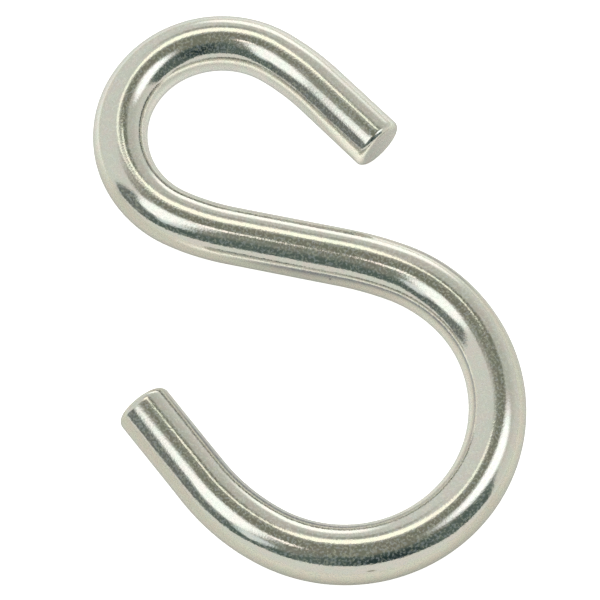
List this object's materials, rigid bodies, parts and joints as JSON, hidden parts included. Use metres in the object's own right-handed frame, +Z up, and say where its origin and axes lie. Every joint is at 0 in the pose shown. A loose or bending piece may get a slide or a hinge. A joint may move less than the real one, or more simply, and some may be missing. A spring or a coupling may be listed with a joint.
{
  "type": "s hook",
  "caption": "S-shaped hanging hook bent from round polished steel bar, with a small hook at one end, a large one at the other, and square-cut tips.",
  "frame": {"origin": "on the surface that the hook lies on, under the middle of its box", "axes": "+Z up, square to the flat of the S; +Y from the lower hook's seat to the upper hook's seat, so a load hangs along -Y; +X to the right as the S reads from above"},
  "size_m": [0.0406, 0.0656, 0.006],
  "materials": {
    "steel": "polished"
  },
  "bodies": {
    "root": {"s_hook": "steel"}
  },
  "joints": []
}
